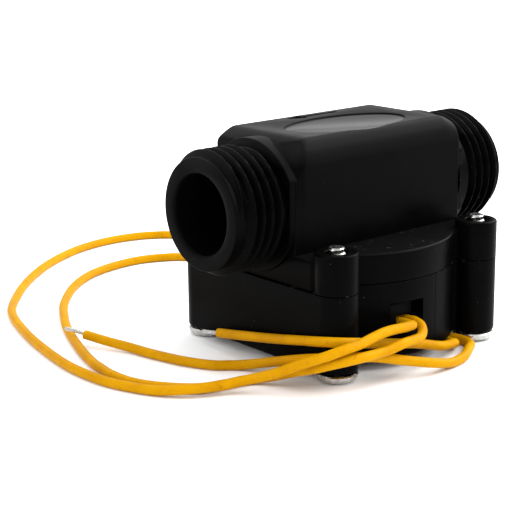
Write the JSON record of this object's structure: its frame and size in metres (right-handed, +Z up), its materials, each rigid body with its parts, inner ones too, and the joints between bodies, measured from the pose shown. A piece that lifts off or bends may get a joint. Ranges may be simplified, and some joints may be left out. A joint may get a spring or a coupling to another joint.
{
  "type": "water flow sensor",
  "caption": "Water flow sensor: straight threaded pipe body over a round impeller housing with screws, and two loose yellow wires.",
  "frame": {"origin": "on the surface that the four screw heads stand on, under the impeller's axis and the middle of the pipe", "axes": "+X along the pipe, from the inlet end away from the flow arrow's tip; +Y to the side away from the wire window; +Z up"},
  "size_m": [0.0788, 0.109, 0.0387],
  "materials": {
    "black_plastic": "moulded black nylon, fine satin surface",
    "grey_plastic": "dark grey moulded plastic, matt",
    "cover_plastic": "moulded black plastic, matt",
    "seal_rubber": "black rubber cord",
    "impeller_plastic": "white acetal, satin",
    "ferrite": "dark grey sintered ferrite, matt",
    "stainless_steel": "ground stainless steel",
    "bearing_plastic": "cream bearing plastic",
    "washer_plastic": "white low friction plastic",
    "board": "green solder mask on glass fibre board",
    "reed_glass": "pale green clear glass",
    "tinned_wire": "tinned copper strands, twisted",
    "yellow_insulation": "yellow cable insulation, satin",
    "plated_steel": "bright zinc plated steel"
  },
  "bodies": {
    "housing": {"upper_body": "black_plastic", "lower_housing": "black_plastic", "wire_clamp": "grey_plastic", "bottom_cover": "cover_plastic", "seal_ring": "seal_rubber", "axle": "stainless_steel", "lower_bearing": "bearing_plastic", "upper_bearing": "bearing_plastic", "thrust_washer": "washer_plastic", "circuit_board": "board", "reed_switch": "reed_glass", "reed_lead_left": "tinned_wire", "reed_lead_right": "tinned_wire", "board_lead_a": "yellow_insulation", "board_lead_b": "yellow_insulation", "wire_a": "yellow_insulation", "wire_b": "yellow_insulation", "conductor_a": "tinned_wire", "conductor_b": "tinned_wire", "screw_1": "plated_steel", "screw_2": "plated_steel", "screw_3": "plated_steel", "screw_4": "plated_steel"},
    "impeller": {"impeller": "impeller_plastic", "magnet_ring": "ferrite"}
  },
  "joints": [
    {"name": "impeller_spin", "type": "hinge", "parent": "housing", "child": "impeller", "pos_m": [0, 0, 0.0155], "axis": [0, 0, 1], "continuous": true}
  ]
}
